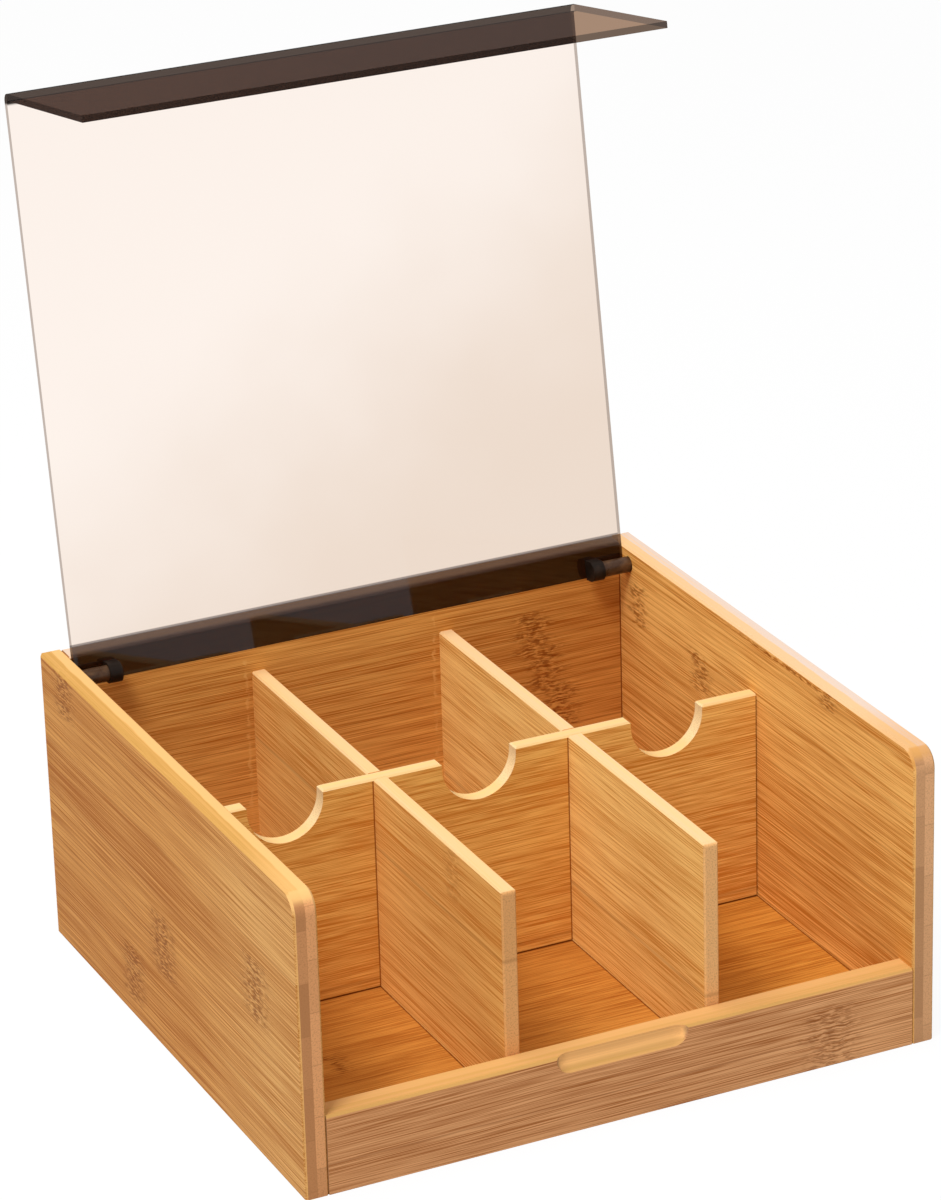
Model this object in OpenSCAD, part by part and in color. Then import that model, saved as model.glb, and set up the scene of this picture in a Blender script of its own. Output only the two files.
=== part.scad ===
// Tea bag organizer box: an open wooden case of six bays under a bent, see-through lid.
// The lid swings up and back on two short pins that run in blind bores of the side walls.
// Units: millimetres. Origin: on the surface the case stands on, at the middle of its front.
// X runs to the right, Y runs to the back, Z runs up. The lid is drawn open, at its stop.

/* [Case] */
// Width over the two side walls
case_w = 240; // [200:1:300]
// Depth from the front face to the back face
case_d = 228; // [190:1:280]
// Height of the side walls and the back wall
case_h = 111.5; // [105:0.5:140]
// Thickness of the side walls
side_t = 8.5; // [7.5:0.5:12]
// Thickness of the back wall
back_t = 8; // [7:0.5:12]
// Radius of the side walls' top front corners
corner_r = 7.5; // [3:0.5:15]
// Chamfer along the edges of the walls and the rail
wall_chamfer = 0.8; // [0.3:0.1:1.5]

/* [Front rail] */
// Height of the front rail
rail_h = 29.5; // [26:0.5:40]
// Thickness of the front rail
rail_t = 10; // [8:0.5:14]
// Length of the finger groove along the rail's face
groove_l = 50; // [30:1:90]
// Distance of the finger groove from the middle of the rail
groove_shift = -1.5; // [-20:0.5:20]
// Radius of the round cutter that leaves the finger groove
groove_r = 7; // [5:0.5:9]
// Depth of the finger groove behind the rail's face
groove_depth = 2.6; // [1.5:0.1:4]
// Height of the rail's top above the cutter's centre
groove_drop = 1.3; // [0.5:0.1:3]

/* [Bottom] */
// Thickness of the bottom panel
bottom_t = 5.5; // [4:0.5:8]
// Height of the bottom panel's underside
bottom_z = 4; // [3:0.5:6]
// Depth to which the bottom panel is let into the boards around it
bottom_let_in = 3.5; // [2:0.5:5]

/* [Dividers] */
// Thickness of the dividers
divider_t = 5.6; // [4:0.1:8]
// Height of the dividers above the bottom panel
divider_h = 81.1; // [60:0.1:84]
// Radius of the long dividers' top front corners
divider_r = 1.5; // [1:0.1:4]
// Chamfer along the edges of the dividers
divider_chamfer = 0.6; // [0.2:0.1:1.2]
// Width of the finger notches in the cross divider
notch_w = 28.9; // [16:0.1:40]
// Height of the finger notches' straight sides above their round bottom
notch_side = 2.2; // [1:0.1:8]
// Distance of the outer finger notches from the middle of their bays, towards the box's middle
notch_inset = 1.5; // [0:0.1:3]
// Gap that the cross divider leaves to the bottom panel and to each side wall
divider_gap = 0.3; // [0.1:0.1:1]

/* [Lid] */
// Thickness of the lid's sheet
lid_t = 2.5; // [2:0.1:4]
// Angle at which the open lid leans back
lid_lean = 9; // [6:0.5:20]
// Gap between the lid and each side wall
lid_side_gap = 0.5; // [0.3:0.1:1.5]
// Distance of the level lid's flap behind the case's front
lid_inset = 0.2; // [0:0.1:2]
// Gap between the level lid's flap and the rail
flap_gap = 3.9; // [0.5:0.1:8]
// Outer radius of the lid's bend
bend_r = 3.2; // [2.8:0.1:8]

/* [Hinge] */
// Diameter of the hinge pins
pin_d = 6; // [4:0.5:7]
// Radial gap between a pin and its bore
pin_fit = 0.08; // [0.02:0.01:0.1]
// Gap between a pin and the lid's sheet
pin_gap = 0.6; // [0.3:0.1:2]
// Depth of the pin axis below the top of the case
hinge_drop = 6.2; // [6:0.1:12]
// Free length of a pin between its block and the side wall
pin_free_l = 11.5; // [5:0.5:25]
// Depth of the bores in the side walls
bore_depth = 5; // [3:0.5:6]
// Gap between a pin's end and the floor of its bore
pin_end_gap = 0.5; // [0.2:0.1:1]
// Length of a hinge block along the pin
block_l = 4.8; // [4:0.1:12]
// Radius of a hinge block's round nose
block_r = 3.8; // [3.6:0.1:6]
// Wall of a hinge block behind the pin's inner end
block_wall = 1.2; // [0.8:0.1:2]
// Gap between the open lid and the back wall's edge
stop_gap = 0.1; // [0.05:0.05:0.5]
// Gap between the swinging lid's tail and the back wall
swing_gap = 0.25; // [0.2:0.05:1]
// Chamfer at the outer end of the pins
pin_chamfer = 0.5; // [0.2:0.1:1]

/* [Dowels] */
// Diameter of the corner dowels
dowel_d = 4; // [3:0.5:5]
// Depth of a dowel in a side wall
dowel_in_side = 5.5; // [4:0.5:6.5]
// Depth of a dowel in the back wall or the rail
dowel_in_end = 12; // [8:1:20]
// Distance of the back wall's upper dowels below its top
dowel_top = 26; // [20:1:35]
// Distance of the lowest dowels above the bottom panel
dowel_foot = 9.5; // [6:0.5:12]

/* [Hidden] */

$fn = 64;
// Room that a cut runs past a face
over = 1;

board_colour = [0.80, 0.60, 0.36];
floor_colour = [0.85, 0.55, 0.25];
divider_colour = [0.93, 0.76, 0.50];
dowel_colour = [0.90, 0.80, 0.62];
lid_colour = [0.36, 0.27, 0.22, 0.55];
block_colour = [0.10, 0.10, 0.10];
pin_colour = [0.22, 0.17, 0.14];

left = -1;
right = 1;

// Space between the walls
inner_w = case_w - 2 * side_t;
inner_back = case_d - back_t;
floor_z = bottom_z + bottom_t;

// Grid of dividers: three equal bays across, two equal bays deep
bay_w = (inner_w - 2 * divider_t) / 3;
bay_pitch = bay_w + divider_t;
bay_d = (inner_back - rail_t - divider_t) / 2;
cross_y = rail_t + bay_d;
long_l = inner_back - rail_t;
divider_top = floor_z + divider_h;
halving_z = floor_z + divider_h / 2;
notch_r = notch_w / 2;

// Finger groove: half of the chord that the round cutter leaves in the rail's face
groove_end = sqrt(pow(groove_r, 2) - pow(groove_r - groove_depth, 2));
groove_run = groove_l - 2 * groove_end;

// Hinge: the open lid touches the lower edge of the chamfer on the back wall's top
sheet_in = pin_d / 2 + pin_gap;
sheet_out = sheet_in + lid_t;
hinge_z = case_h - hinge_drop;
stop_above = hinge_drop - wall_chamfer;
hinge_back = (sheet_out + stop_gap + stop_above * sin(lid_lean)) / cos(lid_lean);
hinge_y = inner_back - hinge_back;
lid_tail = sqrt(pow(hinge_back - swing_gap, 2) - pow(sheet_out, 2));
bore_d = pin_d + 2 * pin_fit;

// Lid: level, it ends at the case's front and its flap hangs down to the rail
lid_w = inner_w - 2 * lid_side_gap;
lid_l = hinge_y + lid_tail - lid_inset;
flap_h = hinge_z + sheet_out - rail_h - flap_gap;

// Pins and blocks
block_outer_x = inner_w / 2 - pin_free_l;
block_inner_x = block_outer_x - block_l;
pin_start_x = block_inner_x + block_wall;
pin_end_x = inner_w / 2 + bore_depth - pin_end_gap;
pin_l = pin_end_x - pin_start_x;

// Dowels
dowel_l = dowel_in_side + dowel_in_end;
back_dowel_y = case_d - back_t / 2;
back_dowel_heights = [floor_z + dowel_foot, case_h - dowel_top];
rail_dowel_y = rail_t / 2;
rail_dowel_heights = [floor_z + dowel_foot];

// Section of a board that stands on its edge: its two top corners are chamfered
function standing_section(width, height, chamfer) = [
    [0, 0], [width, 0], [width, height - chamfer], [width - chamfer, height],
    [chamfer, height], [0, height - chamfer],
];

// Rectangle with four chamfered corners
function chamfered_rect(width, depth, chamfer) = [
    [chamfer, 0], [width - chamfer, 0], [width, chamfer], [width, depth - chamfer],
    [width - chamfer, depth], [chamfer, depth], [0, depth - chamfer], [0, chamfer],
];

// Rectangle with its two corners at the front chamfered
function front_chamfered_rect(width, depth, chamfer) = [
    [chamfer, 0], [width - chamfer, 0], [width, chamfer], [width, depth], [0, depth], [0, chamfer],
];

// Extrusion along X, centred, of a section drawn in Y and Z
module along_x(length) {
    translate([-length / 2, 0, 0]) rotate([90, 0, 90]) linear_extrude(length) children();
}

// Extrusion along Y from y = 0 of a section drawn in X and Z
module along_y(length) {
    translate([0, length, 0]) rotate([90, 0, 0]) linear_extrude(length) children();
}

// Cylinder along X from x = 0
module bar_x(diameter, length) {
    rotate([0, 90, 0]) cylinder(d = diameter, h = length);
}

// Both sides of the case, from what is drawn for the right side
module both_sides() {
    for (side = [left, right]) on_side(side) children();
}

// The given side of the case, from what is drawn for the right side
module on_side(side) {
    if (side == right) children();
    else mirror([1, 0, 0]) children();
}

// Space that the bottom panel fills, which the boards around it are grooved for
module bottom_space() {
    panel_w = inner_w + 2 * bottom_let_in;
    panel_d = inner_back - rail_t + 2 * bottom_let_in;
    translate([-panel_w / 2, rail_t - bottom_let_in, bottom_z]) cube([panel_w, panel_d, bottom_t]);
}

// Dowels of the right side, at one depth and a list of heights
module side_dowels(y, heights) {
    for (z = heights) translate([inner_w / 2 - dowel_in_end, y, z]) bar_x(dowel_d, dowel_l);
}

module corner_dowels(y, heights) {
    both_sides() side_dowels(y, heights);
}

// Side wall, drawn with its inner face at x = 0: a chamfered board with one round corner
module side_board() {
    corner_section = [
        [0, 0], [corner_r - wall_chamfer, 0], [corner_r, wall_chamfer],
        [corner_r, side_t - wall_chamfer], [corner_r - wall_chamfer, side_t], [0, side_t],
    ];
    difference() {
        intersection() {
            along_y(case_d) polygon(standing_section(side_t, case_h, wall_chamfer));
            linear_extrude(case_h) polygon(chamfered_rect(side_t, case_d, wall_chamfer));
        }
        translate([-over, -over, case_h - corner_r])
            cube([side_t + 2 * over, corner_r + over, corner_r + over]);
    }
    translate([0, corner_r, case_h - corner_r]) rotate([0, 90, 0]) rotate([0, 0, 180])
        rotate_extrude(angle = 90) polygon(corner_section);
}

module side_wall(side) {
    color(board_colour) on_side(side) difference() {
        translate([inner_w / 2, 0, 0]) side_board();
        bottom_space();
        side_dowels(back_dowel_y, back_dowel_heights);
        side_dowels(rail_dowel_y, rail_dowel_heights);
        translate([inner_w / 2 - over, hinge_y, hinge_z]) bar_x(bore_d, bore_depth + over);
    }
}

module left_side_wall() {
    side_wall(left);
}

module right_side_wall() {
    side_wall(right);
}

module back_wall() {
    color(board_colour) difference() {
        translate([0, inner_back, 0]) along_x(inner_w)
            polygon(standing_section(back_t, case_h, wall_chamfer));
        bottom_space();
        corner_dowels(back_dowel_y, back_dowel_heights);
    }
}

// Path of the round-nosed cutter along the rail's top front edge: a bar with ball ends
module finger_groove() {
    translate([groove_shift, groove_depth - groove_r, rail_h - groove_drop]) rotate([0, 90, 0])
        rotate_extrude() intersection() {
            union() {
                translate([0, -groove_run / 2]) square([groove_r, groove_run]);
                for (side = [left, right]) translate([0, side * groove_run / 2]) circle(groove_r);
            }
            translate([0, -groove_l]) square([groove_r, 2 * groove_l]);
        }
}

module front_rail() {
    color(board_colour) difference() {
        along_x(inner_w) polygon(standing_section(rail_t, rail_h, wall_chamfer));
        finger_groove();
        bottom_space();
        corner_dowels(rail_dowel_y, rail_dowel_heights);
    }
}

module bottom_panel() {
    color(floor_colour) bottom_space();
}

// Outline of a long divider from the side, with its top front corner rounded
module long_outline() {
    square([long_l, divider_h - divider_r]);
    translate([divider_r, 0]) square([long_l - divider_r, divider_h]);
    translate([divider_r, divider_h - divider_r]) circle(divider_r);
}

module long_divider(side) {
    color(divider_colour) difference() {
        translate([side * bay_pitch / 2 - divider_t / 2, rail_t, floor_z]) intersection() {
            along_y(long_l) polygon(standing_section(divider_t, divider_h, divider_chamfer));
            translate([divider_t / 2, 0, 0]) along_x(divider_t) long_outline();
            linear_extrude(divider_h) polygon(front_chamfered_rect(divider_t, long_l, divider_chamfer));
        }
        translate([side * bay_pitch / 2 - divider_t, cross_y, halving_z])
            cube([2 * divider_t, divider_t, divider_h]);
    }
}

module left_long_divider() {
    long_divider(left);
}

module right_long_divider() {
    long_divider(right);
}

// Outline of a finger notch: a round bottom, and shoulders that are chamfered at the top
module notch_outline() {
    mouth = notch_r + divider_chamfer;
    round_z = divider_top - notch_side;
    translate([0, round_z]) circle(notch_r);
    polygon([
        [-notch_r, round_z], [notch_r, round_z], [notch_r, divider_top - divider_chamfer],
        [mouth, divider_top], [mouth, divider_top + over], [-mouth, divider_top + over],
        [-mouth, divider_top], [-notch_r, divider_top - divider_chamfer],
    ]);
}

// Finger notch at x = 0, through the cross divider
module finger_notch() {
    translate([0, -over, 0]) along_y(divider_t + 2 * over) notch_outline();
}

module cross_divider() {
    color(divider_colour) translate([0, cross_y, 0]) difference() {
        translate([0, 0, floor_z + divider_gap]) along_x(inner_w - 2 * divider_gap)
            polygon(standing_section(divider_t, divider_h - divider_gap, divider_chamfer));
        for (bay = [-1, 0, 1]) translate([bay * (bay_pitch - notch_inset), 0, 0]) finger_notch();
        for (side = [left, right]) translate([side * bay_pitch / 2 - divider_t / 2, -over, floor_z - over])
            cube([divider_t, divider_t + 2 * over, halving_z - floor_z + over]);
    }
}

module back_corner_dowels() {
    color(dowel_colour) corner_dowels(back_dowel_y, back_dowel_heights);
}

module front_corner_dowels() {
    color(dowel_colour) corner_dowels(rail_dowel_y, rail_dowel_heights);
}

// The lid's own frame: the pin axis is X, the sheet stands behind it and leans back
module on_hinge() {
    translate([0, hinge_y, hinge_z]) rotate([-lid_lean, 0, 0]) children();
}

// Section of the bent sheet around the pin axis: a panel, a bend and a flap to the front
module lid_section() {
    bend_y = sheet_out - bend_r;
    bend_z = lid_l - lid_tail - bend_r;
    translate([sheet_in, -lid_tail]) square([lid_t, lid_l - bend_r]);
    translate([sheet_out - flap_h, bend_z + bend_r - lid_t]) square([flap_h - bend_r, lid_t]);
    intersection() {
        translate([bend_y, bend_z]) square([bend_r, bend_r]);
        difference() {
            translate([bend_y, bend_z]) circle(bend_r);
            translate([bend_y, bend_z]) circle(bend_r - lid_t);
        }
    }
}

module lid_sheet() {
    color(lid_colour) on_hinge() along_x(lid_w) lid_section();
}

// Section of a hinge block: half a round nose about the pin, and a body back to the sheet
module block_section() {
    translate([0, -block_r]) square([sheet_in, 2 * block_r]);
    intersection() {
        circle(block_r);
        translate([-block_r, -block_r]) square([block_r, 2 * block_r]);
    }
}

// Hinge block, glued to the sheet's inner face, with the pin fixed in it
module hinge_block(side) {
    color(block_colour) on_hinge() on_side(side) difference() {
        translate([block_inner_x + block_l / 2, 0, 0]) along_x(block_l) block_section();
        translate([pin_start_x, 0, 0]) bar_x(pin_d, block_l);
    }
}

module left_hinge_block() {
    hinge_block(left);
}

module right_hinge_block() {
    hinge_block(right);
}

module hinge_pin(side) {
    color(pin_colour) on_hinge() on_side(side) translate([pin_start_x, 0, 0]) {
        bar_x(pin_d, pin_l - pin_chamfer);
        translate([pin_l - pin_chamfer, 0, 0]) rotate([0, 90, 0])
            cylinder(d1 = pin_d, d2 = pin_d - 2 * pin_chamfer, h = pin_chamfer);
    }
}

module left_hinge_pin() {
    hinge_pin(left);
}

module right_hinge_pin() {
    hinge_pin(right);
}

left_side_wall();
right_side_wall();
back_wall();
front_rail();
bottom_panel();
left_long_divider();
right_long_divider();
cross_divider();
back_corner_dowels();
front_corner_dowels();
lid_sheet();
left_hinge_block();
right_hinge_block();
left_hinge_pin();
right_hinge_pin();
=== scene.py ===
"""Tea bag organizer box: bamboo boards, a smoked see-through lid, black hinge blocks and dark pins.

The CAD nodes keep their shapes. This script gives them procedural materials, and adds the floor,
the lights and the camera. Lengths are metres; the materials work in millimetres of the part's frame.
"""
import math

import bpy
from mathutils import Matrix, Vector

MM = 0.001

# Case, as in the part's source: the boards' faces and sizes in millimetres
SIDE_OUTER = 120.0
SIDE_INNER = 111.5
CASE_D = 228.0
INNER_BACK = 220.0
RAIL_T = 10.0
RAIL_H = 29.5
FLOOR_Z = 9.5
PANEL_T = 5.5
LONG_X = 38.1
CROSS_Y = 112.2
DIVIDER_T = 5.6
DIVIDER_H = 81.1
# Bamboo strips in a board: their width, and where the first begins
STRIP = 19.3
STRIP_START = 12.0

# Lid: its hinge axis and its lean
HINGE_Y = 212.867
HINGE_Z = 105.3
LID_LEAN = math.radians(9.0)
# Its sheet's inner face behind that axis, and places up the panel: the end of the deep band along
# the hinge, the start of that band's paler strip, and the start of the bend to the flap
SHEET_IN = 3.6
HINGE_BAND = 11.3
HINGE_STRIP = 8.0
BEND_FROM = 208.0

AXES = {"x": 0, "y": 1, "z": 2}
WHITE = (1.0, 1.0, 1.0, 1.0)


class Graph:
    """Short names for the nodes and links of a material or the world, its owner."""

    def __init__(self, owner):
        self.owner = owner
        self.owner.use_nodes = True
        self.tree = self.owner.node_tree
        self.tree.nodes.clear()

    def add(self, kind, inputs=None, **settings):
        node = self.tree.nodes.new(kind)
        for key, value in settings.items():
            setattr(node, key, value)
        for key, value in (inputs or {}).items():
            self.put(node.inputs[key], value)
        return node

    def put(self, socket, value):
        if isinstance(value, bpy.types.NodeSocket):
            self.tree.links.new(value, socket)
        else:
            socket.default_value = value

    def math(self, operation, a, b=0.0):
        return self.add("ShaderNodeMath", {0: a, 1: b}, operation=operation).outputs[0]

    def times(self, a, b):
        return self.math("MULTIPLY", a, b)

    def plus(self, a, b):
        return self.math("ADD", a, b)

    def size(self, value):
        return self.math("ABSOLUTE", value)

    def highest(self, values):
        total = values[0]
        for value in values[1:]:
            total = self.math("MAXIMUM", total, value)
        return total

    def step(self, value, low, high):
        """0 below low, 1 above high and smooth between them; low may be above high."""
        flip = low > high
        node = self.add("ShaderNodeMapRange", {"Value": value, "From Min": min(low, high),
                        "From Max": max(low, high), "To Min": float(flip), "To Max": float(not flip)},
                        interpolation_type="SMOOTHSTEP")
        return node.outputs["Result"]

    def near(self, value, centre, half, soft):
        """1 within half of centre, falling to 0 over soft."""
        away = self.size(self.math("SUBTRACT", value, centre))
        return self.step(away, half + soft, half)

    def join(self, x, y, z):
        return self.add("ShaderNodeCombineXYZ", {0: x, 1: y, 2: z}).outputs[0]

    def noise(self, vector, scale=1.0, detail=2.0, roughness=0.5):
        return self.add("ShaderNodeTexNoise", {"Vector": vector, "Scale": scale, "Detail": detail,
                        "Roughness": roughness}).outputs["Fac"]

    def centred(self, vector, detail=1.0):
        """Noise about 0 instead of a half."""
        return self.plus(self.noise(vector, 1.0, detail), -0.5)

    def chance(self, vector):
        """A value between 0 and 1 for each vector, the same one each time."""
        return self.add("ShaderNodeTexWhiteNoise", {"Vector": vector}).outputs["Value"]

    def blend(self, factor, a, b, mode="MIX"):
        node = self.add("ShaderNodeMix", data_type="RGBA", blend_type=mode)
        self.put(node.inputs["Factor"], factor)
        self.put(node.inputs["A"], a)
        self.put(node.inputs["B"], b)
        return node.outputs["Result"]

    def output(self, shader):
        self.add("ShaderNodeOutputMaterial", {"Surface": shader})
        return self.owner


def painted(name):
    """Graph of a new material."""
    return Graph(bpy.data.materials.new(name))


def srgb(r, g, b):
    """Linear colour with alpha from 0..255 display values."""
    def linear(value):
        value /= 255
        return value / 12.92 if value <= 0.04045 else ((value + 0.055) / 1.055) ** 2.4
    return linear(r), linear(g), linear(b), 1.0


def deeper(colour, *shares):
    """A colour with each channel cut to a share of it."""
    return tuple(channel * share for channel, share in zip(colour[:3], shares)) + (1.0,)


def place_in_mm(graph):
    """x, y and z in millimetres, and the surface's own normal as x, y and z."""
    coordinates = graph.add("ShaderNodeTexCoord").outputs
    scaled = graph.add("ShaderNodeVectorMath", {0: coordinates["Object"], "Scale": 1 / MM},
                       operation="SCALE").outputs[0]
    return (graph.add("ShaderNodeSeparateXYZ", {0: scaled}).outputs,
            graph.add("ShaderNodeSeparateXYZ", {0: coordinates["Normal"]}).outputs)


# The bamboo's noises: how often each repeats per millimetre along and across the fibres, its detail
# and its roughness
BANDS = (0.003, 0.12, 1.0, 0.5)
STREAKS = (0.010, 0.85, 3.0, 0.72)
BUNDLES = (0.030, 2.1, 1.0, 0.5)
LINES = (0.070, 3.2, 1.0, 0.5)
CROWDS = (0.003, 0.16, 1.0, 0.5)
THREADS = (0.012, 1.7, 1.0, 0.5)
# Depth of tone, from 0 for the light one to 1 for the dark one, and how much of it each thing adds
MEAN_DEPTH = 0.30
DEEPEST = 1.3
BAND_SHARE = 0.7
STREAK_SHARE = 1.15
STRIP_SHARE = 0.30
LINE_SHARE = 2.0
BUNDLE_SHARE = 0.40
THREAD_SHARE = 0.45
# How far along the fibres one strip's noise lies from that of another, per step of tone
STRIP_SHIFT = 400.0
# How far fibres drift, and swerve in a knot, and how far a knot's sides wander, in millimetres
FIBRE_DRIFT = 4.0
KNOT_SWERVE = 2.0
KNOT_WANDER = 18.0
# How strongly a knot is stained all over, and by its dark and its pale flecks
KNOT_STAIN, KNOT_DARK_FLECKS, KNOT_PALE_FLECKS = 0.14, 0.72, 0.60
# How strongly seams between strips show, on a face and on the fibres' ends
SEAM_SHARE, END_SEAM_SHARE = 0.35, 0.45
# Lines where boards meet, and traces of glue: half width, soft rim and wander in millimetres, strength
JOINT_HALF, JOINT_SOFT, JOINT_SHARE = 0.25, 0.45, 0.95
TRACE_HALF, TRACE_SOFT, TRACE_WANDER, TRACE_SHARE = 0.2, 0.8, 7.0, 0.50
GLUE = srgb(240, 190, 112)
# Places along the grain's axis between which a board takes on its far tone, a painted gradient of light
# and shade
PAINTED_LIGHT_FROM, PAINTED_LIGHT_TO = 15.0, 110.0
# Places along it between which the tone of a rounded corner grows, and its strength there
TURN_FROM, TURN_TO, TURN_SHARE = 50.0, 8.0, 0.45
# The wood's gloss, its roughness with what streaks add to that, and the depth of its relief
WOOD_GLOSS = 0.04
WOOD_ROUGHNESS, STREAK_ROUGHNESS = 0.40, 0.16
WOOD_RELIEF = 0.12 * MM


def knot_marks(g, u, v, w, knots):
    """1 in a board's knots, whose sides wander along the fibres."""
    marks = []
    for knot_u, knot_v, half_u, half_v in knots:
        wander = g.times(g.centred(g.join(knot_u, g.times(v, 0.3), g.times(w, 0.2)), 3.0), KNOT_WANDER)
        along = g.size(g.plus(g.plus(u, wander), -knot_u))
        marks.append(g.times(g.step(along, half_u * 1.2, half_u * 0.1),
                             g.near(v, knot_v, half_v * 0.75, half_v * 0.4)))
    return g.highest(marks) if marks else 0.0


def with_joints(g, face, place, contacts, smears, joint_tone):
    """The face with its lines where boards meet, and the dried glue beside them."""
    joints = [g.near(place[AXES[axis]], at, JOINT_HALF, JOINT_SOFT) for axis, at in contacts]
    if joints:
        face = g.blend(g.times(g.highest(joints), JOINT_SHARE), face, joint_tone)
    traces = []
    for axis, at in smears:
        ragged = g.noise(g.join(*(g.times(place[i], 0.25) for i in range(3))), 1.0, 3.0)
        offset = g.plus(place[AXES[axis]], g.times(g.plus(ragged, -0.5), TRACE_WANDER))
        traces.append(g.times(g.near(offset, at, TRACE_HALF, TRACE_SOFT), g.step(ragged, 0.44, 0.60)))
    if traces:
        face = g.blend(g.times(g.highest(traces), TRACE_SHARE), face, GLUE)
    return face


def bamboo(name, grain, across, faces, light, dark, edge, core, end, plies=2, strip=STRIP,
           strip_start=STRIP_START, knots=(), contacts=(), smears=(), reach=1.0, crisp=1.0, gnarl=1.0,
           cut=None, turn=None, far=None, seed=0.0):
    """Laminated bamboo: strips laid side by side along one axis, in plies through the board.

    grain and across are the axes of the fibres and of the strips' width. faces are the places of
    its faces on the third axis, the deeper ply's first. light and dark are the two tones of its
    fibres, core and edge those of a long edge in the deeper ply and in the other, end that of the
    fibres' ends, cut that of what is hollowed out of a face, and turn that of a rounded corner
    between a long edge and an end. far is what the fibres' tones are multiplied by away from the
    start of the grain's axis: a painted gradient of light and shade along the board.
    knots are (place along the grain, place across it, half width along the grain, half height).
    contacts are (axis, place) of lines where another board stands, and smears those of dried glue.
    reach lengthens the fibres, crisp is the strength of their fine lines and gnarl that of the knots.
    """
    g = painted(name)
    place, normal = place_in_mm(g)
    through = ({"x", "y", "z"} - {grain, across}).pop()
    u, v, w = place[AXES[grain]], place[AXES[across]], place[AXES[through]]
    endwise, sideways = g.size(normal[AXES[grain]]), g.size(normal[AXES[across]])
    knot_dark = deeper(dark, 0.50, 0.36, 0.22)

    # Fibres drift, and swerve round the knots
    knot = knot_marks(g, u, v, w, knots)
    drift = g.centred(g.join(g.times(u, 0.006), g.times(v, 0.02), g.times(w, 0.1)))
    swerve = g.centred(g.join(g.times(u, 0.15), g.times(v, 0.10), w))
    bent = g.plus(v, g.plus(g.times(drift, FIBRE_DRIFT), g.times(g.times(swerve, knot), KNOT_SWERVE)))

    # Strips and plies, each with a tone of its own
    ply = (faces[1] - faces[0]) / plies
    plied = g.plus(g.times(g.plus(w, -faces[0]), 1 / ply), 0.001)
    layer = g.math("MINIMUM", g.math("FLOOR", plied), plies - 1)
    shifted = g.times(g.plus(v, -strip_start), 1 / strip)
    shifted = g.plus(shifted, g.chance(g.join(layer, seed, 3.0)))
    tone = g.chance(g.join(g.math("FLOOR", shifted), layer, seed))
    seam = g.step(g.size(g.plus(g.math("FRACT", shifted), -0.5)), 0.484, 0.499)
    ply_seam = g.step(g.size(g.plus(g.math("FRACT", plied), -0.5)), 0.46, 0.5)

    # Fibres: broad bands, long streaks, short dark bundles, the finest lines and crowded threads
    run = g.plus(g.times(u, 1 / reach), g.times(tone, STRIP_SHIFT))

    def fibres(along, over, detail, roughness):
        spot = g.join(g.times(run, along), g.times(bent, over), g.times(w, over))
        return g.noise(spot, 1.0, detail, roughness)

    streaks, bundles = fibres(*STREAKS), fibres(*BUNDLES)
    threads = g.times(g.step(fibres(*THREADS), 0.53, 0.64), g.step(fibres(*CROWDS), 0.36, 0.62))
    depth = MEAN_DEPTH
    for part, share in ((fibres(*BANDS), BAND_SHARE), (streaks, STREAK_SHARE), (tone, STRIP_SHARE),
                        (fibres(*LINES), LINE_SHARE * crisp)):
        depth = g.plus(depth, g.times(g.plus(part, -0.5), share))
    depth = g.plus(depth, g.times(g.step(bundles, 0.51, 0.60), BUNDLE_SHARE * crisp))
    depth = g.plus(depth, g.times(threads, THREAD_SHARE * crisp))
    face = g.blend(g.math("MAXIMUM", g.math("MINIMUM", depth, DEEPEST), 0.0), light, dark)
    face = g.blend(g.times(seam, SEAM_SHARE), face, knot_dark)

    # Dark and pale flecks across the knots
    fleck = g.noise(g.join(g.times(u, 0.26), g.times(bent, 1.15), g.times(w, 0.5)), 1.0, 2.0, 0.6)
    curls, gaps = g.times(g.step(fleck, 0.47, 0.59), knot), g.times(g.step(fleck, 0.45, 0.36), knot)
    face = g.blend(g.times(knot, KNOT_STAIN * gnarl), face, knot_dark)
    face = g.blend(g.times(curls, KNOT_DARK_FLECKS * gnarl), face, knot_dark)
    face = g.blend(g.times(gaps, KNOT_PALE_FLECKS), face, light)
    # Painted light and shade: the tones are made lighter or darker along the grain by far
    if far:
        face = g.blend(g.step(u, PAINTED_LIGHT_FROM, PAINTED_LIGHT_TO), face, far, "MULTIPLY")
    face = with_joints(g, face, place, contacts, smears, knot_dark)

    # What lies between the faces: a hollow, or the rounding of an edge
    grainy = g.times(g.step(streaks, 0.40, 0.66), 0.5)
    inset = g.math("MINIMUM", g.size(g.plus(w, -faces[0])), g.size(g.plus(w, -faces[1])))
    between = g.step(inset, 0.25, 0.7)
    if cut:
        face = g.blend(between, face, g.blend(g.times(grainy, 0.4), cut, dark))
    else:
        face = g.blend(g.times(between, 0.75), face, light)

    # Long edges, with a deeper ply and a paler one, whose border wobbles
    wobble = g.centred(g.join(g.times(u, 0.05), seed, 0.0), 2.0)
    deep_ply = g.step(g.plus(plied, g.times(wobble, 0.5)), 1.08, 0.92) if plies > 1 else 0.5
    edge_tone = g.blend(g.plus(0.10, g.times(deep_ply, 0.85)), edge, core)
    edge_tone = g.blend(g.times(grainy, 0.7), edge_tone, light)
    face = g.blend(g.step(sideways, 0.35, 0.6), face, edge_tone)

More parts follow.
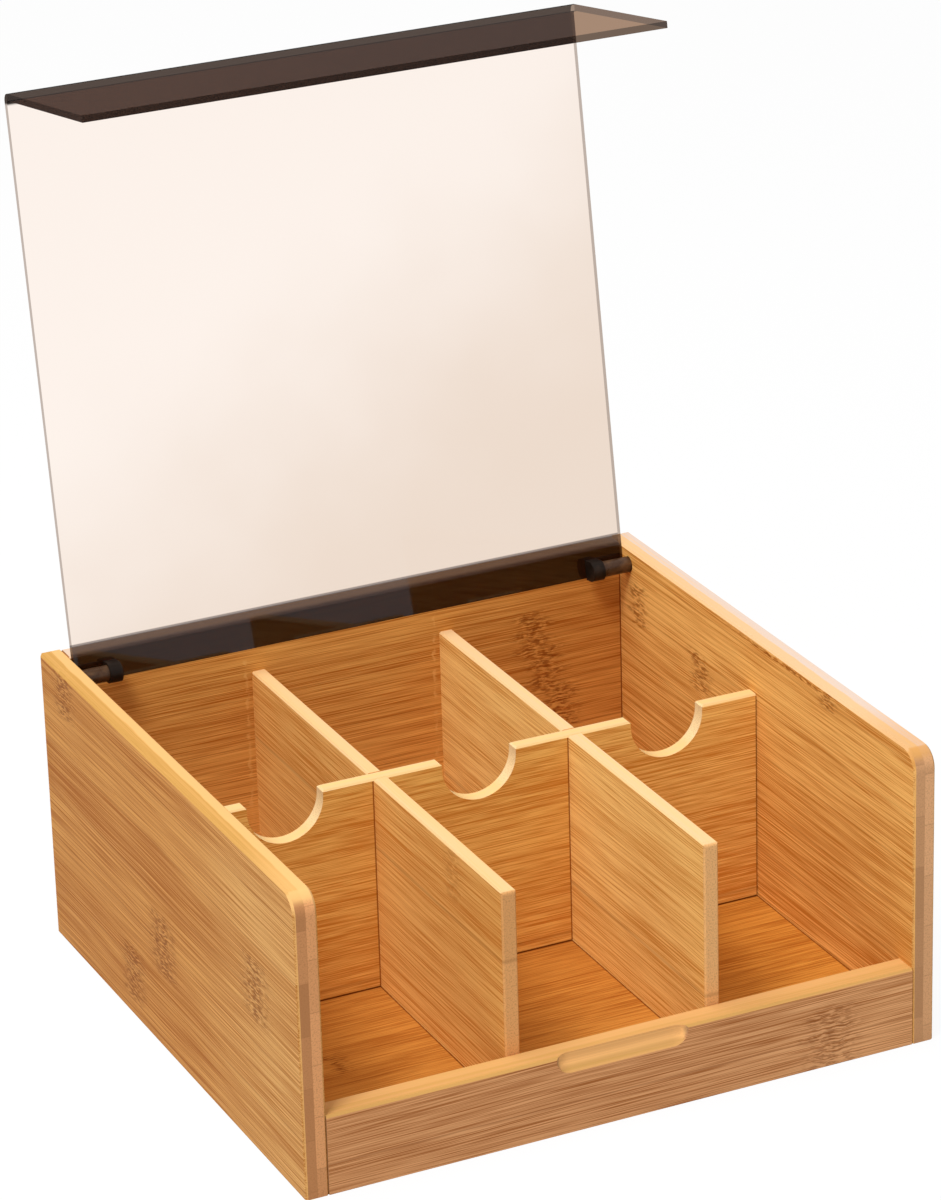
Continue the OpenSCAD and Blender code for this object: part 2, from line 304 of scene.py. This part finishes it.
    # Ends of the fibres, which are finely pored, and a rounded corner before them
    pores = g.noise(g.join(0.0, g.times(v, 1.7), g.times(w, 1.7)), 1.0, 2.0, 0.6)
    end_dark = deeper(end, 0.50, 0.46, 0.42)
    if plies > 1:
        end_depth = g.plus(g.times(tone, 0.40), g.times(g.step(plied, 1.0, 0.99), 0.42))
    else:
        end_depth = g.times(tone, 0.20)
    end_tone = g.blend(end_depth, end, end_dark)
    end_tone = g.blend(g.times(g.step(pores, 0.45, 0.68), 0.45), end_tone, end_dark)
    end_tone = g.blend(g.times(g.math("MAXIMUM", seam, ply_seam), END_SEAM_SHARE), end_tone, end_dark)
    on_end = g.step(endwise, 0.5, 0.8)
    if turn:
        near_corner = g.times(g.step(u, TURN_FROM, TURN_TO), TURN_SHARE)
        on_corner = g.highest([near_corner, g.times(g.step(endwise, 0.05, 0.35), 0.85)])
        face = g.blend(g.times(on_corner, g.step(sideways, 0.05, 0.30)), face, turn)
        on_end = g.step(endwise, 0.65, 0.92)
    face = g.blend(on_end, face, end_tone)

    relief = g.plus(g.times(streaks, 0.6), g.times(bundles, 0.4))
    bump = g.add("ShaderNodeBump", {"Height": relief, "Strength": 0.16, "Distance": WOOD_RELIEF})
    roughness = g.plus(WOOD_ROUGHNESS, g.times(streaks, STREAK_ROUGHNESS))
    surface = g.add("ShaderNodeBsdfPrincipled", {"Base Color": face, "Normal": bump.outputs[0],
                    "Roughness": roughness, "Specular IOR Level": WOOD_GLOSS})
    return g.output(surface.outputs[0])


# What the lid's sheet lets through, over its whole thickness
PANEL_TINT = srgb(254, 243, 235)
PANEL_LOW_TINT = srgb(237, 219, 204)
FLAP_TINT = srgb(164, 132, 108)
DOUBLED_TINT = srgb(115, 92, 81)
DOUBLED_RIGHT_TINT = srgb(99, 80, 73)
HINGE_TINT = srgb(62, 52, 54)
STRIP_TINT = srgb(106, 95, 91)
BEND_TINT = srgb(26, 18, 14)
END_TINT = srgb(146, 132, 123)
FLAP_END_TINT = srgb(92, 78, 71)
LIP_TINT = srgb(76, 66, 60)
# Near black along the sheet's foot: a painted shadow line
FOOT_SHADOW_TINT = srgb(14, 9, 7)
SHADOW_TINT = srgb(250, 243, 236)
# Where the panel's low tint fades out, in millimetres up it, and how far a cloud and x shift that
LOW_FROM, LOW_TO = 30.0, 190.0
CLOUD_SHIFT, X_SHIFT = 60.0, -0.5
# The share of light that the sheet mirrors: everywhere, times its Fresnel share, and along the hinge
SHEEN = 0.006
FRESNEL_SHEEN = 0.06
BAND_SHEEN = 0.016
ACRYLIC_IOR = 1.49
ACRYLIC_ROUGHNESS = 0.03


def smoked_sheet(name):
    """Smoked acrylic sheet: pale alone, deep along the hinge, in the flap and where it lies doubled.

    Each of the sheet's two faces passes the root of its tint.
    """
    g = painted(name)
    place, normal = place_in_mm(g)
    # Place up the panel and behind the hinge axis, in the lid's own frame
    lean_y, lean_z = math.sin(LID_LEAN), math.cos(LID_LEAN)
    back, up = g.plus(place[1], -HINGE_Y), g.plus(place[2], -HINGE_Z)
    along = g.plus(g.times(up, lean_z), g.times(back, lean_y))
    behind = g.plus(g.times(back, lean_z), g.times(up, -lean_y))
    flap = g.step(behind, SHEET_IN - 0.3, SHEET_IN - 1.5)
    bend = g.times(g.step(along, BEND_FROM, BEND_FROM + 1.0), g.step(behind, 0.5, 1.5))
    cloud = g.noise(g.join(g.times(place[0], 0.02), g.times(along, 0.02), 0.0), 1.0, 2.0)
    height = g.plus(along, g.plus(g.times(cloud, CLOUD_SHIFT), g.times(place[0], X_SHIFT)))
    tint = g.blend(g.step(height, LOW_FROM, LOW_TO), PANEL_LOW_TINT, PANEL_TINT)
    tint = g.blend(flap, tint, FLAP_TINT)
    tint = g.blend(bend, tint, BEND_TINT)
    # Deep band along the hinge, with a paler strip over the wall's top edge
    band = g.step(along, HINGE_BAND + 0.2, HINGE_BAND - 0.2)
    strip = g.step(along, HINGE_STRIP - 0.6, HINGE_STRIP + 0.6)
    tint = g.blend(band, tint, g.blend(strip, HINGE_TINT, STRIP_TINT))
    # Seen through another layer of the sheet, which a ray enters and leaves, it is deep as well
    path = g.add("ShaderNodeLightPath").outputs
    doubled = g.times(path["Is Camera Ray"], g.step(path["Transparent Depth"], 1.4, 1.6))
    rightward = g.step(place[0], -SIDE_OUTER, SIDE_OUTER)
    tint = g.blend(doubled, tint, g.blend(rightward, DOUBLED_TINT, DOUBLED_RIGHT_TINT))
    # Its sawn ends are darker, and the flap's lip is darkest; the end across the hinge is painted near
    # black as a painted shadow line along the sheet's foot
    facing = g.plus(g.times(normal[1], -lean_z), g.times(normal[2], lean_y))
    below = g.plus(g.times(normal[1], -lean_y), g.times(normal[2], -lean_z))
    lip = g.times(flap, g.step(facing, 0.5, 0.8))
    foot_shadow = g.times(g.step(along, 0.0, -1.0), g.step(below, 0.5, 0.8))
    ends = g.step(g.size(normal[0]), 0.5, 0.8)
    tint = g.blend(ends, tint, g.blend(flap, END_TINT, FLAP_END_TINT))
    tint = g.blend(foot_shadow, g.blend(lip, tint, LIP_TINT), FOOT_SHADOW_TINT)
    # It throws a pale shadow
    tint = g.blend(g.highest([path["Is Shadow Ray"], path["Is Diffuse Ray"]]), tint, SHADOW_TINT)
    root = g.add("ShaderNodeGamma", {"Color": tint, "Gamma": 0.5}).outputs[0]
    clear = g.add("ShaderNodeBsdfTransparent", {"Color": root})
    mirror = g.add("ShaderNodeBsdfGlossy", {"Color": WHITE, "Roughness": ACRYLIC_ROUGHNESS})
    outside = g.math("SUBTRACT", 1.0, g.add("ShaderNodeNewGeometry").outputs["Backfacing"])
    fresnel = g.add("ShaderNodeFresnel", {"IOR": ACRYLIC_IOR}).outputs[0]
    sheen = g.plus(g.plus(SHEEN, g.times(fresnel, FRESNEL_SHEEN)), g.times(band, BAND_SHEEN))
    both = g.add("ShaderNodeMixShader", {0: g.times(outside, sheen), 1: clear.outputs[0],
                 2: mirror.outputs[0]})
    return g.output(both.outputs[0])


# Dark plastic: how often its rubbed places repeat per metre, and the depth of its relief
CLOUDS_PER_METRE = 260.0
PLASTIC_RELIEF = 0.05 * MM


def dark_plastic(name, colour, worn, roughness, grain, gloss):
    """Moulded or drawn plastic with paler rubbed places; grain is the repeats of its grain per metre."""
    g = painted(name)
    spot = g.add("ShaderNodeTexCoord").outputs["Object"]
    cloud = g.noise(spot, CLOUDS_PER_METRE, 3.0)
    fine = g.noise(spot, grain, 2.0)
    tone = g.blend(g.step(cloud, 0.45, 0.75), colour, worn)
    bump = g.add("ShaderNodeBump", {"Height": fine, "Strength": 0.12, "Distance": PLASTIC_RELIEF})
    surface = g.add("ShaderNodeBsdfPrincipled", {"Base Color": tone, "Normal": bump.outputs[0],
                    "Roughness": g.plus(roughness, g.times(cloud, 0.12)), "Specular IOR Level": gloss})
    return g.output(surface.outputs[0])


def dress(node, material):
    """Gives a CAD node its material in every slot."""
    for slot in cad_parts[node].material_slots:
        slot.material = material


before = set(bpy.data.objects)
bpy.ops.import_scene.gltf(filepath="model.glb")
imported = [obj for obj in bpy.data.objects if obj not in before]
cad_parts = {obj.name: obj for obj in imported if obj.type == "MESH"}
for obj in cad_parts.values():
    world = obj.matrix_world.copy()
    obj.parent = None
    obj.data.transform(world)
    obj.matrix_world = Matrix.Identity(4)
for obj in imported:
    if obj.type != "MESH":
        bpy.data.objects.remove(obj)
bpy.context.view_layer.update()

# Tones of the boards, which come from different strips; they are also set lighter or darker board by
# board as painted light and shade, darker on the outer walls than on the boards inside, and far paints
# a gradient of light and shade along a board
LEFT_WALL = dict(light=srgb(234, 180, 109), dark=srgb(183, 115, 47), edge=srgb(228, 180, 116),
                 core=srgb(195, 145, 73), end=srgb(238, 170, 114), far=(0.90, 0.78, 0.61, 1.0))
# The right wall's pale edge tone is a painted highlight: its top edge is whitened as if lit from behind
RIGHT_WALL = dict(light=srgb(246, 190, 109), dark=srgb(192, 119, 45), edge=srgb(219, 199, 187),
                  core=srgb(228, 188, 140), end=srgb(249, 190, 138), far=(1.07, 1.10, 1.10, 1.0))
BACK_WALL = dict(light=srgb(242, 184, 100), dark=srgb(180, 107, 37), edge=srgb(214, 190, 170),
                 core=srgb(214, 190, 170), end=srgb(222, 174, 126), far=(0.93, 0.85, 0.76, 1.0))
RAIL = dict(light=srgb(233, 171, 117), dark=srgb(171, 104, 55), edge=srgb(214, 164, 98),
            core=srgb(206, 157, 89), end=srgb(222, 174, 126), far=(1.14, 1.20, 1.24, 1.0))
FLOOR = dict(light=srgb(200, 134, 59), dark=srgb(156, 87, 28), edge=srgb(220, 172, 104),
             core=srgb(206, 156, 88), end=srgb(206, 164, 122), far=(1.10, 1.13, 1.02, 1.0))
CROSS = dict(light=srgb(255, 205, 114), dark=srgb(209, 135, 52), edge=srgb(234, 198, 142),
             core=srgb(228, 190, 132), end=srgb(252, 222, 168), far=(1.08, 1.15, 1.26, 1.0))
LEFT_LONG = dict(light=srgb(240, 186, 107), dark=srgb(202, 129, 54), edge=srgb(231, 193, 143),
                 core=srgb(230, 192, 136), end=srgb(236, 173, 110), far=(1.13, 1.23, 1.34, 1.0))
RIGHT_LONG = dict(light=srgb(247, 199, 120), dark=srgb(204, 138, 61), edge=srgb(231, 196, 150),
                  core=srgb(230, 194, 144), end=srgb(245, 187, 124), far=(1.11, 1.20, 1.28, 1.0))
DOWEL = dict(light=srgb(222, 196, 150), dark=srgb(190, 156, 108), edge=srgb(222, 196, 150),
             core=srgb(222, 196, 150), end=srgb(206, 172, 130))

half_t = DIVIDER_T / 2
sides = (-SIDE_INNER, SIDE_INNER)
# Lines on the floor and the cross divider: at the side walls and at each long divider's left face
stands = [("x", x) for x in (-LONG_X - half_t, LONG_X - half_t, *sides)]
dress("left_side_wall", bamboo("bamboo_left_wall", "y", "z", (-SIDE_OUTER, -SIDE_INNER), **LEFT_WALL,
      knots=[(206, 104, 11, 10), (150, 17, 12, 11), (120, 41, 13, 12), (36, 62, 13, 12)],
      reach=3.0, crisp=1.35, gnarl=0.95, turn=srgb(235, 184, 118), seed=1.0))
# The right wall's last knot is no knot but a long thin dark line just under its top edge
dress("right_side_wall", bamboo("bamboo_right_wall", "y", "z", (SIDE_INNER, SIDE_OUTER), **RIGHT_WALL,
      knots=[(206, 91, 8, 9), (156, 82, 9, 8), (60, 108, 8, 4), (90, 109.5, 50, 0.8)],
      reach=2.0, crisp=1.1, turn=srgb(213, 152, 81), seed=2.0))
dress("back_wall", bamboo("bamboo_back_wall", "x", "z", (CASE_D, INNER_BACK), **BACK_WALL,
      knots=[(74, 81, 9, 10), (79, 66, 9, 10), (85, 50, 9, 10)], contacts=[("x", x) for x in sides],
      smears=[("x", x - half_t - 2.0) for x in (-LONG_X, LONG_X)], reach=1.6, crisp=0.75, seed=3.0))
dress("front_rail", bamboo("bamboo_rail", "x", "z", (0.0, RAIL_T), **RAIL, strip=RAIL_H, strip_start=0.0,
      knots=[(79, 10, 13, 13)], reach=2.0, crisp=1.2, gnarl=0.7, cut=srgb(253, 192, 121), seed=4.0))
dress("bottom_panel", bamboo("bamboo_floor", "x", "y", (FLOOR_Z - PANEL_T, FLOOR_Z), **FLOOR,
      knots=[(-78, 66, 4, 8)], contacts=[("y", CROSS_Y)] + stands, seed=5.0))
dress("cross_divider", bamboo("bamboo_cross", "x", "z", (CROSS_Y, CROSS_Y + DIVIDER_T), **CROSS, plies=1,
      strip=DIVIDER_H, strip_start=FLOOR_Z, contacts=[("z", FLOOR_Z)] + stands, seed=6.0))
for side, x, tones, knots, seed in (("left", -LONG_X, LEFT_LONG, [(49, 81, 8, 10)], 7.0),
                                    ("right", LONG_X, RIGHT_LONG, [], 9.0)):
    dress(side + "_long_divider", bamboo("bamboo_long_" + side, "y", "z", (x - half_t, x + half_t),
          **tones, plies=1, strip=DIVIDER_H, strip_start=FLOOR_Z, knots=knots, reach=2.0, crisp=1.3,
          gnarl=0.35, seed=seed))
dowel = bamboo("dowel_wood", "x", "z", (-SIDE_OUTER, SIDE_OUTER), **DOWEL, seed=9.0)
dress("back_corner_dowels", dowel)
dress("front_corner_dowels", dowel)
dress("lid_sheet", smoked_sheet("smoked_acrylic"))
block = dark_plastic("black_plastic", srgb(26, 18, 13), srgb(42, 31, 24), 0.34, 1800.0, 0.1)
pin = dark_plastic("dark_rod", srgb(64, 42, 26), srgb(94, 66, 42), 0.22, 900.0, 0.22)
for side in ("left", "right"):
    dress(side + "_hinge_block", block)
    dress(side + "_hinge_pin", pin)


def seen_white(graph):
    """1 for the rays that show the background: seen directly, mirrored or through glass."""
    path = graph.add("ShaderNodeLightPath").outputs
    return graph.highest([path["Is Camera Ray"], path["Is Glossy Ray"], path["Is Transmission Ray"]])


# Floor: it lights the object as a grey one, and where it is seen it glows white but for the share
# that keeps the object's shadow
FLOOR_HALF = 6.0
FLOOR_TONE = (0.50, 0.50, 0.50, 1.0)
SHOWN_TONE = (0.92, 0.92, 0.92, 1.0)
GLOW_SHARE = 0.93
floor_mesh = bpy.data.meshes.new("floor")
corners = [(x * FLOOR_HALF, y * FLOOR_HALF, 0) for x, y in ((-1, -1), (1, -1), (1, 1), (-1, 1))]
floor_mesh.from_pydata(corners, [], [(0, 1, 2, 3)])
floor = bpy.data.objects.new("floor", floor_mesh)
bpy.context.scene.collection.objects.link(floor)
g = painted("pale_floor")
shown = seen_white(g)
matte = g.add("ShaderNodeBsdfDiffuse", {"Color": g.blend(shown, FLOOR_TONE, SHOWN_TONE)}).outputs[0]
glow = g.add("ShaderNodeEmission", {"Color": WHITE, "Strength": 1.0}).outputs[0]
mixed = g.add("ShaderNodeMixShader", {0: g.times(shown, GLOW_SHARE), 1: matte, 2: glow}).outputs[0]
floor_mesh.materials.append(g.output(mixed))

# World: even soft light, white where it is seen
AMBIENT = 0.5
world = bpy.data.worlds.new("studio")
bpy.context.scene.world = world
g = Graph(world)
strength = g.plus(AMBIENT, g.times(seen_white(g), 1.0 - AMBIENT))
sky = g.add("ShaderNodeBackground", {"Color": WHITE, "Strength": strength})
g.add("ShaderNodeOutputWorld", {"Surface": sky.outputs[0]})


def softbox(name, at, aim, size, power):
    """Square white area light at a place, aimed at a point."""
    light = bpy.data.lights.new(name, "AREA")
    light.shape = "SQUARE"
    light.size = size
    light.energy = power
    lamp = bpy.data.objects.new(name, light)
    lamp.location = at
    lamp.rotation_euler = (Vector(aim) - Vector(at)).to_track_quat("-Z", "Y").to_euler()
    bpy.context.scene.collection.objects.link(lamp)


# Lamps, aimed at about the middle of the case
CENTRE = (0.0, 0.11, 0.06)
softbox("key", (-0.85, -0.50, 1.65), CENTRE, 0.5, 20.0)
softbox("overhead", (-0.42, 0.30, 1.80), CENTRE, 1.0, 14.0)

# Camera: fitted to the photograph, whose longer side spans the sensor's width in millimetres
SENSOR = 36.0
LENS = 146.79
CLIP_END = 50.0
CAMERA_AT = Vector((-0.6631, -1.3125, 0.8074))
CAMERA_RIGHT = (0.90179, -0.43131, -0.02716)
CAMERA_UP = (0.18912, 0.33734, 0.92219)
CAMERA_BACK = (-0.38859, -0.83676, 0.38578)
camera_data = bpy.data.cameras.new("camera")
camera_data.sensor_width = SENSOR
camera_data.lens = LENS
camera_data.clip_end = CLIP_END
camera = bpy.data.objects.new("camera", camera_data)
turn = Matrix((CAMERA_RIGHT, CAMERA_UP, CAMERA_BACK)).transposed()
camera.matrix_world = Matrix.Translation(CAMERA_AT) @ turn.to_4x4()
bpy.context.scene.collection.objects.link(camera)
bpy.context.scene.camera = camera
bpy.context.scene.view_settings.view_transform = "Standard"
